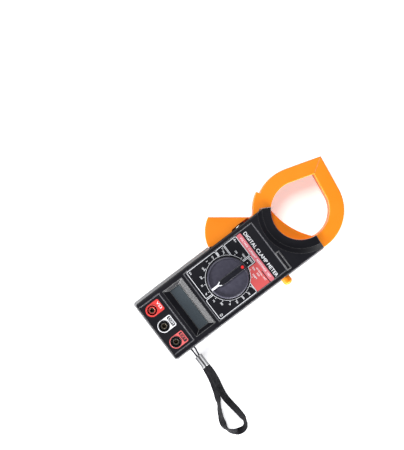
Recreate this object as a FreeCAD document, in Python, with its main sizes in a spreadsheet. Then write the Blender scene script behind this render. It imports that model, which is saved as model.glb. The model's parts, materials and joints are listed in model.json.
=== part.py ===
import FreeCAD, Part
import math
import os
import re

import Sketcher

# A hand-held clamp meter lying on its back. X is to the right, Y runs towards the jaws and
# Z comes out of the face. The origin is the middle of the flat rear face. Millimetres.

SIZES = [
    # the case
    ("case_width", 70.0, "over the side walls at the parting line"),
    ("case_foot", 81.5, "from the origin to the end with the sockets"),
    ("face_height", 31.0, "front face above the rear face"),
    ("parting_height", 13.0, "line where front and rear cover meet"),
    ("draft_inset", 2.3, "how far each side leans in between parting line and face"),
    ("wall", 2.2, "side walls and rear plate"),
    ("skin_under", 28.6, "underside of the face plate"),
    ("collar_height", 28.9, "lowered collar round the jaw opening"),
    ("sill", 3.3, "rear cover under the jaws"),
    ("lintel", 27.7, "front cover over the jaws"),
    # the jaws
    ("jaw_x", -9.4, "centre of the round part of the jaw opening"),
    ("jaw_y", 103.3, "centre of the round part of the jaw opening"),
    ("bore_radius", 28.5, "round part of the jaw opening"),
    ("rim_radius", 42.5, "outside of the jaws"),
    ("housed_radius", 38.5, "outside of the fixed jaw where the case holds it"),
    ("knuckle_radius", 46.0, "outside of the moving jaw's thicker root"),
    ("tip_angle", 122.2, "direction of the pointed tip from the centre"),
    ("tip_spread", 40.5, "angle from the tip to where each straight flank starts"),
    ("shoulder_angle", -5.0, "where the fixed jaw leaves the case"),
    ("root_angle", 227.0, "inner end of the joint between the jaws"),
    ("knuckle_angle", 232.0, "outer end of the joint between the jaws"),
    ("jaw_low", 3.5, "rear face of the jaws"),
    ("jaw_high", 27.5, "front face of the jaws"),
    ("jaw_parting", 15.5, "line where the jaw shells meet"),
    ("jaw_wall", 1.6, "shell thickness of the jaws"),
    ("ledge_centre", 53.6, "centre of the flat bulge in the opening, from the jaws' centre"),
    ("ledge_radius", 72.2, "flat bulge in the opening"),
    ("ledge_low", 8.0, "rear edge of the bulge"),
    ("ledge_high", 23.0, "front edge of the bulge"),
    ("core_inner", 31.6, "inside of the iron core"),
    ("core_outer", 35.4, "outside of the iron core"),
    ("core_low", 9.5, "rear face of the iron core"),
    ("core_high", 21.5, "front face of the iron core"),
    # the hinge and the trigger
    ("pivot_x", -27.3, "jaw pivot"),
    ("pivot_y", 45.3, "jaw pivot"),
    ("pivot_radius", 2.5, "jaw pivot pin"),
    ("hub_radius", 8.0, "boss of the moving jaw on the pin"),
    ("trigger_radius", 35.2, "outer arc of the trigger about the pivot"),
    ("hub_high", 21.2, "top of the boss, below the spring"),
    # the range switch
    ("dial_y", 8.2, "centre of the range knob"),
    ("knob_radius", 20.0, "range knob"),
    ("knob_low", 30.0, "underside of the knob"),
    ("knob_high", 35.0, "rim of the knob"),
    ("grip_high", 37.0, "top of the knob's grip bar"),
    ("grip_width", 5.9, "grip bar"),
    ("rotor_radius", 16.4, "switch rotor under the face"),
    ("detent_radius", 13.5, "circle of the detent balls"),
    # the display
    ("window_y", -38.75, "middle of the display window"),
    ("window_width", 46.6, "clear window"),
    ("window_tall", 10.7, "clear window"),
    ("window_top", 26.5, "upper surface of the window"),
    # the sockets
    ("socket_y", -69.0, "row of test sockets"),
    ("socket_pitch", 19.05, "standard spacing of 4 mm sockets"),
    ("socket_radius", 5.5, "socket body"),
    ("bore_of_contact", 2.0, "4 mm socket"),
    ("socket_low", 9.1, "rear end of the socket body"),
    # the hold button
    ("hold_y", 52.4, "hold button on the right side"),
    ("hold_height", 24.0, "hold button axis"),
    ("hold_radius", 4.5, "hold button"),
    # the circuit board and the battery
    ("board_low", 20.3, "underside of the circuit board"),
    ("board_high", 21.9, "top of the circuit board"),
    ("board_side", 29.5, "half width of the circuit board"),
    ("battery_y", -45.05, "middle of the battery"),
    ("battery_long", 46.4, "9 V block without its snaps"),
    ("battery_wide", 26.5, "9 V block"),
    ("battery_low", 2.4, "rear side of the battery"),
    ("battery_tall", 17.5, "9 V block"),
    ("door_side", 27.0, "half width of the battery cover"),
    ("door_foot", -64.4, "battery cover, socket end"),
    ("door_head", -29.7, "battery cover, jaw end"),
    # the wrist strap
    ("strap_y", -61.2, "where the strap's cord leaves the case"),
    ("strap_width", 7.0, "webbing"),
    ("crimp_y", -62.0, "middle of the crimp"),
    ("crimp_start", 45.2, "case end of the crimp"),
    ("crimp_end", 58.0, "strap end of the crimp"),
]

doc = FreeCAD.newDocument("ClampMeter")
sheet = doc.addObject("Spreadsheet::Sheet", "Sizes")
for row, (word, size, meaning) in enumerate(SIZES, start=1):
    sheet.set(f"A{row}", meaning)
    sheet.set(f"B{row}", str(size))
    sheet.setAlias(f"B{row}", word)
doc.recompute()
WORDS = {word for word, _, _ in SIZES}
NODES = []


# ---- small kit -------------------------------------------------------------------------------

def bound(formula):
    """The formula with each size's word pointed at its cell."""
    return re.sub(r"[a-z_]+", lambda w: "Sizes." + w[0] if w[0] in WORDS else w[0], str(formula))


def value(formula):
    return float(sheet.evalExpression(bound(formula)))


def drive(thing, **formulas):
    """Bind properties to formulas; Base_x stands for Placement.Base.x."""
    for name, formula in formulas.items():
        if name.startswith("Base_"):
            name = "Placement.Base." + name[-1]
        thing.setExpression(name, bound(formula))
    return thing


def node(name, shape):
    """Name a finished sub-part."""
    shape.Label = name
    NODES.append(shape)
    return shape


def box(name, x, y, z):
    """A block between two x, two y and two z values."""
    block = doc.addObject("Part::Box", name)
    sides = {"Length": x, "Width": y, "Height": z}
    for side, (low, high) in sides.items():
        block.setExpression(side, bound(f"({high}) - ({low})"))
    return drive(block, Base_x=x[0], Base_y=y[0], Base_z=z[0])


TURNS = {
    "x": FreeCAD.Rotation(FreeCAD.Vector(0, 1, 0), 90),
    "y": FreeCAD.Rotation(FreeCAD.Vector(1, 0, 0), -90),
    "z": FreeCAD.Rotation(),
}


def rod(name, start, radius, length, axis="z"):
    """A cylinder from a start point along an axis."""
    cylinder = doc.addObject("Part::Cylinder", name)
    cylinder.Placement.Rotation = TURNS[axis]
    drive(cylinder, Radius=radius, Height=length)
    return drive(cylinder, Base_x=start[0], Base_y=start[1], Base_z=start[2])


def post(name, x, y, radius, low, high):
    """An upright cylinder between two heights."""
    return rod(name, (x, y, low), radius, f"({high}) - ({low})")


def fuse(name, *shapes):
    joined = doc.addObject("Part::MultiFuse", name)
    joined.Shapes = list(shapes)
    return joined


def cut(name, base, *tools):
    carved = doc.addObject("Part::Cut", name)
    carved.Base = base
    carved.Tool = tools[0] if len(tools) == 1 else fuse(name + "_tools", *tools)
    return carved


def tube(name, x, y, outer, inner, low, high):
    return cut(name, post(name + "_out", x, y, outer, low, high),
               post(name + "_in", x, y, inner, low, high))


def origin_plane(body, role):
    return next(item for item in body.Origin.OriginFeatures if item.Role == role)


def draw(body, name, outline, height):
    """A closed sketch at a height. A point is (x, y), or (x, y, radius, centre, turn) where an
    arc leaves it; turn is +1 anticlockwise and -1 clockwise."""
    sketch = body.newObject("Sketcher::SketchObject", name)
    sketch.AttachmentSupport = [(origin_plane(body, "XY_Plane"), "")]
    sketch.MapMode = "FlatFace"
    sketch.setExpression("AttachmentOffset.Base.z", bound(height))
    count = len(outline)
    places = [FreeCAD.Vector(value(point[0]), value(point[1]), 0) for point in outline]
    for index, point in enumerate(outline):
        here, there = places[index], places[(index + 1) % count]
        if len(point) == 2:
            sketch.addGeometry(Part.LineSegment(here, there))
            continue
        radius, centre, turn = point[2:]
        middle = FreeCAD.Vector(value(centre[0]), value(centre[1]), 0)
        circle = Part.Circle(middle, FreeCAD.Vector(0, 0, 1), value(radius))
        ends = [math.atan2(end.y - middle.y, end.x - middle.x) for end in (here, there)]
        first, last = ends if turn > 0 else reversed(ends)
        sketch.addGeometry(Part.ArcOfCircle(circle, first, last))
    start = [2 if len(point) == 5 and point[4] < 0 else 1 for point in outline]
    for index, point in enumerate(outline):
        after = (index + 1) % count
        sketch.addConstraint(
            Sketcher.Constraint("Coincident", index, 3 - start[index], after, start[after]))
        for direction, formula in zip(("DistanceX", "DistanceY"), point[:2]):
            rule = Sketcher.Constraint(direction, -1, 1, index, start[index], value(formula))
            sketch.setExpression(f"Constraints[{sketch.addConstraint(rule)}]", bound(formula))
        if len(point) == 5:
            rule = sketch.addConstraint(Sketcher.Constraint("Radius", index, value(point[2])))
            sketch.setExpression(f"Constraints[{rule}]", bound(point[2]))
    return sketch


def prism(name, outline, low, high, taper=None, down=False):
    """A body padded from an outline. With down it grows from high to low."""
    body = doc.addObject("PartDesign::Body", name)
    sketch = draw(body, name + "_outline", outline, high if down else low)
    pad = body.newObject("PartDesign::Pad", name + "_pad")
    pad.Profile = sketch
    pad.Reversed = down
    drive(pad, Length=f"({high}) - ({low})")
    if taper:
        pad.setExpression("TaperAngle", bound(taper))
    return body


def round_plate(name, x, y, radius, low, high):
    """A body padded from a circle."""
    body = doc.addObject("PartDesign::Body", name)
    sketch = body.newObject("Sketcher::SketchObject", name + "_circle")
    sketch.AttachmentSupport = [(origin_plane(body, "XY_Plane"), "")]
    sketch.MapMode = "FlatFace"
    sketch.setExpression("AttachmentOffset.Base.z", bound(low))
    middle = FreeCAD.Vector(value(x), value(y), 0)
    sketch.addGeometry(Part.Circle(middle, FreeCAD.Vector(0, 0, 1), value(radius)))
    rules = [(Sketcher.Constraint("DistanceX", -1, 1, 0, 3, middle.x), x),
             (Sketcher.Constraint("DistanceY", -1, 1, 0, 3, middle.y), y),
             (Sketcher.Constraint("Radius", 0, value(radius)), radius)]
    for rule, formula in rules:
        sketch.setExpression(f"Constraints[{sketch.addConstraint(rule)}]", bound(formula))
    pad = body.newObject("PartDesign::Pad", name + "_pad")
    pad.Profile = sketch
    drive(pad, Length=f"({high}) - ({low})")
    return body


def soften(body, radius, keep):
    """Round the edges of a body that keep picks by their middle points."""
    doc.recompute()
    names = []
    for index, edge in enumerate(body.Shape.Edges, start=1):
        middle = edge.valueAt((edge.FirstParameter + edge.LastParameter) / 2)
        if keep(middle, edge):
            names.append(f"Edge{index}")
    padded = body.Tip
    fillet = body.newObject("PartDesign::Fillet", body.Name + "_round")
    fillet.Base = (padded, names)
    fillet.setExpression("Radius", bound(radius))
    body.Tip = fillet
    return body


def route(points):
    """A path of straight runs joined by tangent arcs, each as large as its two runs allow."""
    places = [FreeCAD.Vector(*point) for point in points]
    edges, start, radii = [], places[0], []
    for before, corner, after in zip(places, places[1:], places[2:]):
        to_start, to_end = before - corner, after - corner
        half = (math.pi - to_start.getAngle(to_end)) / 2
        reach = 0.45 * min(to_start.Length, to_end.Length)
        radii.append(reach / math.tan(half))
        to_start.normalize()
        to_end.normalize()
        enter, leave = corner + to_start * reach, corner + to_end * reach
        inward = (to_start + to_end).normalize()
        middle = corner + inward * (radii[-1] / math.cos(half) - radii[-1])
        edges += [Part.LineSegment(start, enter).toShape(), Part.Arc(enter, middle, leave).toShape()]
        start = leave
    edges.append(Part.LineSegment(start, places[-1]).toShape())
    return Part.Wire(edges), radii


def ready_made(name, shape):
    """A sub-part whose shape comes straight from Part's own functions."""
    feature = doc.addObject("Part::Feature", name)
    feature.Shape = shape
    feature.Placement = FreeCAD.Placement()
    return feature


def round_cord(name, paths, radius):
    """One round tube along each path."""
    tubes = []
    for points in paths:
        path, radii = route(points)
        start, heading = FreeCAD.Vector(*points[0]), FreeCAD.Vector(*points[1])
        ring = Part.Wire(Part.makeCircle(radius, start, heading - start))
        solid = path.makePipeShell([ring], True, False)
        share = solid.Volume / (math.pi * radius ** 2 * path.Length)
        print(f"{name}: {path.Length:.1f} long, volume share {share:.3f}, radii", [round(r, 1) for r in radii])
        tubes.append(solid)
    return ready_made(name, Part.makeCompound(tubes) if len(tubes) > 1 else tubes[0])


def coil_wire(x, y, radius, wire, low, high, turns):
    """A coil of round wire standing upright."""
    helix = Part.makeHelix((high - low) / turns, high - low, radius)
    helix.translate(FreeCAD.Vector(x, y, low))
    ring = Part.Wire(Part.makeCircle(wire, FreeCAD.Vector(x + radius, y, low), FreeCAD.Vector(0, 1, 0)))
    return Part.Wire(helix.Edges).makePipeShell([ring], True, True)


# ---- shared outlines ------------------------------------------------------------------------

JAW_CENTRE = ("jaw_x", "jaw_y")
PIVOT = ("pivot_x", "pivot_y")


def about(centre, radius, angle):
    """A point at a radius and an angle from a centre."""
    return (f"{centre[0]} + ({radius}) * cos({angle})", f"{centre[1]} + ({radius}) * sin({angle})")


def jaw_point(radius, angle):
    return about(JAW_CENTRE, radius, angle)


ROOT = jaw_point("bore_radius", "root_angle")
KNUCKLE = jaw_point("knuckle_radius", "knuckle_angle")


def along_joint(share):
    """A point on the line of the joint between the jaws: 0 at the opening, 1 at the knuckle."""
    return tuple(f"({a}) + {share} * (({b}) - ({a}))" for a, b in zip(ROOT, KNUCKLE))


def beyond_case(name):
    """Everything on the jaw side of the two faces where the case ends."""
    outline = [along_joint(-0.5), along_joint(2), ("-70", "jaw_y + 60"), ("70", "jaw_y + 60"),
               jaw_point("2 * bore_radius", "shoulder_angle"), jaw_point("bore_radius / 2", "shoulder_angle")]
    return prism(name, outline, "-5", "face_height + 5")


def band(inner, outer, first, last, to_tip=True):
    """The outline of a stretch of the jaws: from the tip's mitre, or from an angle, to an angle."""
    ahead = value(last) > value(first)
    turn = 1 if ahead else -1
    arcs = [(*jaw_point(inner, first), inner, JAW_CENTRE, turn), jaw_point(inner, last),
            (*jaw_point(outer, last), outer, JAW_CENTRE, -turn), jaw_point(outer, first)]
    if not to_tip:
        return arcs
    tips = [jaw_point(f"{radius} / cos(tip_spread)", "tip_angle") for radius in (outer, inner)]
    return arcs + tips


def slab(name, start, heading, length, thickness, low, high):
    """A thin upright slab centred on a line."""
    blade = doc.addObject("Part::Box", name)
    turn = FreeCAD.Rotation(FreeCAD.Vector(0, 0, 1), value(heading))
    offset = turn.multVec(FreeCAD.Vector(0, -value(thickness) / 2, 0))
    blade.Placement.Rotation = turn
    drive(blade, Length=length, Width=thickness, Height=f"({high}) - ({low})", Base_z=low)
    return drive(blade, Base_x=f"{start[0]} + {offset.x}", Base_y=f"{start[1]} + {offset.y}")


JOINT_HEADING = math.degrees(math.atan2(
    value(KNUCKLE[1]) - value(ROOT[1]), value(KNUCKLE[0]) - value(ROOT[0])))


def jaw_gaps(name):
    """The play between the two jaws at the tip and at the root."""
    tip = slab(name + "_tip", JAW_CENTRE, "tip_angle", "80", "0.16", "0", "face_height")
    root = slab(name + "_root", along_joint(-0.3), JOINT_HEADING, "15.6", "0.5", "0", "face_height")
    return [tip, root]


CASE_SCREWS = [("-28.5", "-18"), ("28.5", "-18"), ("27", "72"), ("-6", "46")]
SOCKETS = {"volt": "-socket_pitch", "common": "0", "ext": "socket_pitch"}
DRAFT = "-atan(draft_inset / (face_height - parting_height))"
REAR_DRAFT = "-atan(draft_inset / parting_height)"
PLAY = "0.4"


# ---- case -----------------------------------------------------------------------------------

def case_outline(inset, head):
    side = f"case_width / 2 - {inset}"
    foot = f"-case_foot + {inset}"
    return [(f"-({side})", foot), (side, foot), (side, head), (f"-({side})", head)]


def jaw_room(name, low, high):
    """The space in the case for both jaws, the trigger and their travel."""
    ring = post(name + "_ring", "jaw_x", "jaw_y", f"housed_radius + {PLAY}", low, high)
    slot = box(name + "_slot", ("-40", "-14"), ("10.2", "92"), (low, high))
    upper = box(name + "_upper", ("-20", "30.3"), ("58", "97.3"), (low, high))
    return [ring, slot, upper]


def on_corner(middle, edge):
    """The upright edges at the socket end."""
    return middle.y < -value("case_foot") + 3 and abs(edge.tangentAt(edge.FirstParameter).z) > 0.9


def front_cover():
    shell = prism("front_shell", case_outline("0", "jaw_y + 10"), "parting_height", "face_height", DRAFT)
    soften(shell, "3", on_corner)
    soften(shell, "1.1", lambda middle, edge: middle.z > value("face_height") - 0.01)
    room = prism("front_room", case_outline("wall", "60"), "parting_height - 1", "skin_under", DRAFT)
    bore = post("front_bore", "jaw_x", "jaw_y", "bore_radius", "0", "face_height + 1")
    scoop = doc.addObject("Part::Cone", "collar_scoop")
    drive(scoop, Radius1="bore_radius + 8.5", Radius2="bore_radius + 13.2", Base_z="collar_height",
          Height="face_height - collar_height + 0.01", Base_x="jaw_x", Base_y="jaw_y")
    hollow = cut("front_hollow", shell, room, bore, scoop, beyond_case("front_beyond"),
                 *jaw_room("front_jaw", "parting_height - 1", "lintel"))
    inside = [box("window_block", ("-28.4", "28.4"), ("window_y - 12.6", "window_y + 12.6"),
                  ("25.2", "skin_under + 0.5"))]
    for index, (x, y) in enumerate(CASE_SCREWS):
        inside.append(post(f"front_boss_{index}", x, y, "3.2", "parting_height", "skin_under + 0.1"))
    for name, x in SOCKETS.items():
        inside.append(post(f"socket_sleeve_{name}", x, "socket_y", "socket_radius + 1.4", "22", "skin_under + 0.5"))
    inside.append(post("spring_peg", "pivot_x + 13.3", "pivot_y - 3.9", "1.6", "23", "skin_under + 0.5"))
    frame = cut("nameless_frame", box("frame_out", ("8.9", "29.2"), ("58.5", "62.9"), ("30.9", "31.25")),
                box("frame_in", ("9.6", "28.5"), ("59.2", "62.2"), ("30.8", "31.3")))
    solid = fuse("front_solid", hollow, frame, *inside)
    funnel = doc.addObject("Part::Wedge", "window_funnel")
    funnel.Placement.Rotation = FreeCAD.Rotation(FreeCAD.Vector(1, 0, 0), 90)
    drive(funnel, Xmin="-window_width / 2", Xmax="window_width / 2", X2min="-window_width / 2 - 3.7",
          X2max="window_width / 2 + 3.7", Zmin="-window_tall / 2", Zmax="window_tall / 2",
          Z2min="-window_tall / 2 - 5.9", Z2max="window_tall / 2 + 6.3", Ymin="0",
          Ymax="face_height - window_top + 0.01", Base_y="window_y", Base_z="window_top")
    holes = [funnel,
             box("window_seat", ("-25.2", "25.2"), ("window_y - 7.4", "window_y + 7.4"), ("20", "window_top + 0.01")),
             post("knob_recess", "0", "dial_y", "knob_radius + 0.4", "29.7", "32"),
             post("knob_hole", "0", "dial_y", "9.2", "20", "32"),
             box("dial_recess", ("-28.7", "28.7"), ("-24.2", "58.2"), ("face_height - 0.3", "32")),
             box("socket_recess", ("-28.2", "28.2"), ("-78.2", "-54"), ("face_height - 0.3", "32")),
             post("pin_seat_front", *PIVOT, "pivot_radius", "20", "29.6"),
             rod("hold_hole", ("26", "hold_y", "hold_height"), "hold_radius + 0.3", "20", "x")]
    for name, x in SOCKETS.items():
        holes.append(post(f"socket_hole_{name}", x, "socket_y", "socket_radius + 0.02", "20", "32"))
    for index, (x, y) in enumerate(CASE_SCREWS):
        holes.append(post(f"front_pilot_{index}", x, y, "1.3", "parting_height - 1", "26"))
    return node("front_cover", cut("front_cover", solid, *holes))


def rear_cover():
    shell = prism("rear_shell", case_outline("0", "jaw_y + 10"), "0", "parting_height", REAR_DRAFT, down=True)
    soften(shell, "3", on_corner)
    soften(shell, "1.2", lambda middle, edge: middle.z < 0.01)
    room = prism("rear_room", case_outline("wall", "59"), "wall", "parting_height + 1", REAR_DRAFT, down=True)
    bore = post("rear_bore", "jaw_x", "jaw_y", "bore_radius", "-1", "face_height")
    hollow = cut("rear_hollow", shell, room, bore, beyond_case("rear_beyond"),
                 *jaw_room("rear_jaw", "sill", "parting_height + 1"))
    low = "wall - 0.1"
    inside = [box("rib_foot", ("-31.5", "26.4"), ("-60.4", "-59.2"), (low, "18")),
              box("rib_head", ("-31.5", "31.5"), ("-30.9", "-29.7"), (low, "18")),
              post("door_boss", "0", "-61.9", "2.4", low, "8"),
              post("strap_anchor", "30.3", "strap_y", "1.1", low, "parting_height - 0.1")]
    for index, (x, y) in enumerate(CASE_SCREWS):
        inside.append(post(f"rear_boss_{index}", x, y, "3.6", low, "parting_height"))
    for name, x in SOCKETS.items():
        inside.append(post(f"socket_foot_{name}", x, "socket_y", "3.4", low, "7.9"))
    solid = fuse("rear_solid", hollow, *inside)
    holes = [box("door_hole", ("-door_side - 0.2", "door_side + 0.2"), ("door_foot - 0.2", "door_head + 0.2"),
                 ("-1", "wall + 0.35")),
             post("door_pilot", "0", "-61.9", "1.45", "-1", "7.8"),
             box("strap_slot", ("30.8", "37"), ("strap_y - 3.2", "strap_y + 3.2"), ("5.0", "8.6")),
             post("pin_seat_rear", *PIVOT, "pivot_radius", "1.2", "8")]
    for index, (x, y) in enumerate(CASE_SCREWS):
        holes.append(post(f"rear_clear_{index}", x, y, "1.6", "-1", "14"))
        holes.append(post(f"rear_sink_{index}", x, y, "3", "-1", "6"))
    return node("rear_cover", cut("rear_cover", solid, *holes))


def battery_cover():
    plate = box("door_plate", ("-door_side", "door_side"), ("door_foot", "door_head"), ("0", "wall"))
    grips = [box(f"door_grip_{row}", ("-9", "9"), (f"{y}", f"{y} + 1"), ("-1", "0.5"))
             for row, y in enumerate((-52, -50, -48, -46))]
    hole = post("door_screw_hole", "0", "-61.9", "1.3", "-1", "wall + 1")
    sink = post("door_screw_sink", "0", "-61.9", "2.5", "-1", "1.3")
    node("battery_cover", cut("battery_cover", plate, hole, sink, *grips))
    head = post("door_screw_head", "0", "-61.9", "2.45", "0.2", "1.3")
    shank = post("door_screw_shank", "0", "-61.9", "1.25", "1.2", "7")
    whole = fuse("door_screw", head, shank)
    node("battery_cover_screw", cut("battery_cover_screw", whole, *cross("door", "0", "-61.9", "0.2")))


def cross(name, x, y, low):
    """The two bars of a cross recess that opens downwards at a height."""
    def across(middle, half):
        return f"{middle} - {half}", f"{middle} + {half}"

    deep = (f"{low} - 1", f"{low} + 0.8")
    return [box(f"{name}_cross_a", across(x, 1.5), across(y, 0.3), deep),
            box(f"{name}_cross_b", across(x, 0.3), across(y, 1.5), deep)]


def screws(name, places, head, head_low, shank, high):
    """Equal screws entering from the rear, kept as a group of separate solids."""
    made = []
    for index, (x, y) in enumerate(places):
        key = f"{name}_{index}"
        body = fuse(key, post(key + "_head", x, y, head, head_low, f"{head_low} + 2"),
                    post(key + "_shank", x, y, shank, f"{head_low} + 1.9", high))
        made.append(cut(key + "_made", body, *cross(key, x, y, head_low)))
    group = doc.addObject("Part::Compound", name)
    group.Links = made
    return node(name, group)


def labels():
    height = ("face_height - 0.3", "face_height - 0.05")
    dial = box("dial_sheet", ("-28.5", "28.5"), ("-24", "58"), height)
    opening = post("dial_opening", "0", "dial_y", "knob_radius + 0.6", "29", "32")
    node("dial_label", cut("dial_label", dial, opening))
    strip = box("socket_sheet", ("-28", "28"), ("-78", "-54.2"), height)
    openings = [post(f"socket_opening_{name}", x, "socket_y", "socket_radius + 0.1", "29", "32")
                for name, x in SOCKETS.items()]
    node("socket_label", cut("socket_label", strip, *openings))


# ---- display --------------------------------------------------------------------------------

def display():
    def across(half):
        return (f"-{half}", half)

    def along(half):
        return (f"window_y - {half}", f"window_y + {half}")

    node("lcd_window", box("lcd_window", across("25"), along("7.2"), ("25.25", "window_top")))
    node("lcd_glass", box("lcd_glass", across("24.5"), along("8.5"), ("23.1", "25.15")))
    ring = box("lcd_ring", across("27.5"), along("11"), ("board_high", "25.15"))
    node("lcd_frame", cut("lcd_frame", ring, box("lcd_ring_in", across("24.6"), along("8.6"), ("20", "26"))))
    pair = doc.addObject("Part::Compound", "zebra_strips")
    pair.Links = [box(f"zebra_{side}", across("22"), (f"window_y + {y} - 1", f"window_y + {y} + 1"),
                      ("board_high", "23.05")) for side, y in (("foot", "-7"), ("head", "7"))]
    node("zebra_strips", pair)


# ---- range switch ---------------------------------------------------------------------------

def range_switch():
    disc = round_plate("knob_disc", "0", "dial_y", "knob_radius", "knob_low", "knob_high")
    soften(disc, "1.2", lambda middle, edge: middle.z > value("knob_high") - 0.01)
    dish = post("knob_dish", "0", "dial_y", "knob_radius - 1.9", "knob_high - 0.8", "knob_high + 1")
    half, nose = "grip_width / 2", "0.95"
    grip = prism("knob_grip", [
        (f"-{half}", "dial_y + 19"), (f"-{half}", "dial_y - 8.6"), (f"-{nose}", "dial_y - 12"),
        (f"-{nose}", "dial_y - 19.4"), (nose, "dial_y - 19.4"), (nose, "dial_y - 12"),
        (half, "dial_y - 8.6"), (half, "dial_y + 19")], "knob_low + 1", "grip_high")
    soften(grip, "0.45", lambda middle, edge: middle.z > value("grip_high") - 0.01)
    reach = post("knob_reach", "0", "dial_y", "knob_radius - 0.3", "20", "40")
    bar = doc.addObject("Part::Common", "knob_bar")
    bar.Base, bar.Tool = grip, reach
    hub = post("knob_hub", "0", "dial_y", "8.9", "26.5", "knob_low + 0.5")
    node("selector_knob", fuse("selector_knob", cut("knob_plate", disc, dish), bar, hub))

    rotor = post("rotor_disc", "0", "dial_y", "rotor_radius", "22.7", "26.45")
    pockets = [post(f"rotor_pocket_{side}", f"{side} * detent_radius", "dial_y", "1.75", "23.4", "27")
               for side in (-1, 1)]
    node("switch_rotor", cut("switch_rotor", rotor, *pockets))
    wipers = doc.addObject("Part::Compound", "wiper_contacts")
    leaves = []
    for index, radius in enumerate((6.0, 9.0, 12.0, 14.4)):
        leaves.append(box(f"wiper_{index}", ("-3.2", "3.2"), (f"dial_y + {radius} - 0.7", f"dial_y + {radius} + 0.7"),
                          ("board_high + 0.1", "22.7")))
    wipers.Links = leaves
    node("wiper_contacts", wipers)
    balls = doc.addObject("Part::Compound", "detent_balls")
    made = []
    for side in (-1, 1):
        ball = doc.addObject("Part::Sphere", f"ball_{side + 2}")
        made.append(drive(ball, Radius="1.5", Base_x=f"{side} * detent_radius", Base_y="dial_y", Base_z="26.95"))
    balls.Links = made
    node("detent_balls", balls)
    coils = [coil_wire(side * value("detent_radius"), value("dial_y"), 1.15, 0.22, 23.65, 25.2, 3)
             for side in (-1, 1)]
    node("detent_springs", ready_made("detent_springs", Part.makeCompound(coils)))


# ---- jaws -----------------------------------------------------------------------------------

FIXED_SCREWS = [jaw_point("46", "tip_angle - 8"), jaw_point("39.2", "0.5")]
MOVING_SCREWS = [jaw_point("46", "tip_angle + 8"), jaw_point("43.4", "221"), about(PIVOT, "20", "214")]
FLANK_FIXED = "tip_angle - tip_spread"
FLANK_MOVING = "tip_angle + tip_spread"


def is_rim(level):
    """Picks the long edges of a jaw at a height, not those of the two joints."""
    centre = FreeCAD.Vector(value("jaw_x"), value("jaw_y"), 0)
    tip = math.radians(value("tip_angle"))

    def keep(middle, edge):
        flat = FreeCAD.Vector(middle.x, middle.y, 0) - centre
        on_mitre = abs(flat.x * math.sin(tip) - flat.y * math.cos(tip)) < 0.5 and flat.y > 0
        straight = edge.Curve.TypeId.endswith("Line")
        on_root = straight and middle.y < value(ROOT[1]) + 0.1 and edge.Length < 19 and flat.x < -19
        on_shoulder = straight and flat.x > 20 and abs(edge.tangentAt(edge.FirstParameter).y) < 0.2
        return abs(middle.z - level) < 0.01 and not (on_mitre or on_root or on_shoulder)
    return keep


def shell_heights(front):
    """Outer heights, cavity heights and the height of the outer face of a jaw shell."""
    if front:
        return ("jaw_parting", "jaw_high"), ("jaw_parting - 1", "jaw_high - jaw_wall"), value("jaw_high")
    return ("jaw_low", "jaw_parting"), ("jaw_low + jaw_wall", "jaw_parting + 1"), value("jaw_low")


def core_outline(first, last):
    return band("core_inner", "core_outer", first, last)


def screw_ways(name, places, front):
    """Pilot holes, and in the rear shell the sinks for the heads."""
    ways = []
    for index, (x, y) in enumerate(places):
        ways.append(post(f"{name}_way_{index}", x, y, "1.1", "0", "22"))
        if not front:
            ways.append(post(f"{name}_sink_{index}", x, y, "2", "0", "jaw_low + 2.2"))
    return ways


def ledge(name, front):
    """The flat bulge in the wall of the opening, which makes room for the winding."""
    centre = jaw_point("ledge_centre", "111")
    level, behind = ("ledge_high" if front else "ledge_low"), "bore_radius + 0.8"
    outline = [(*about(centre, "ledge_radius", "271"), "ledge_radius", centre, 1),
               about(centre, "ledge_radius", "311"),
               (*jaw_point(behind, "351"), behind, JAW_CENTRE, -1), jaw_point(behind, "231")]
    bulge = prism(name + "_ledge", outline, *sorted((level, "jaw_parting"), key=value))
    rim = value(level)
    soften(bulge, "3", lambda middle, edge: abs(middle.z - rim) < 0.01 and getattr(edge.Curve, "Radius", 0) > 60)
    return bulge


def fixed_shell(front):
    name = "fixed_jaw_front_shell" if front else "fixed_jaw_rear_shell"
    heights, hollow, face = shell_heights(front)
    upper = prism(name + "_upper", band("bore_radius", "rim_radius", FLANK_FIXED, "shoulder_angle"), *heights)
    soften(upper, "0.9", is_rim(face))
    ring = tube(name + "_ring", "jaw_x", "jaw_y", "housed_radius", "bore_radius", *heights)
    housed = cut(name + "_housed", ring, beyond_case(name + "_beyond"))
    inner, outer = "bore_radius + jaw_wall", "rim_radius - jaw_wall"
    room = prism(name + "_room", band(inner, outer, FLANK_FIXED, "5", to_tip=False), *hollow)
    lower = prism(name + "_lower", band(inner, "housed_radius - jaw_wall", "-4", "-128", to_tip=False), *hollow)
    core = prism(name + "_way", core_outline(FLANK_FIXED, "root_angle - 357.5"), "core_low", "core_high")
    solid = fuse(name + "_solid", upper, housed, ledge(name, front))
    return node(name, cut(name, solid, room, lower, core, *jaw_gaps(name), *screw_ways(name, FIXED_SCREWS, front)))


def arm_outline():
    """The arm from the jaw's root to the hub, and the trigger, as one plate."""
    arc = about(PIVOT, "trigger_radius", "209")
    end = about(PIVOT, "trigger_radius", "258")
    left = "pivot_x - 6.1"
    return [jaw_point("39.2", "229"), jaw_point("42", "225"), jaw_point("45.6", "231.2"), (left, "pivot_y + 18.4"),
            (left, "pivot_y + 15.3"), (*arc, "trigger_radius", PIVOT, 1), end,
            ("pivot_x + 5.4", "pivot_y - 5.5"), ("pivot_x + 7.4", "pivot_y + 2"), ("pivot_x + 3", "pivot_y + 14")]


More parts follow.
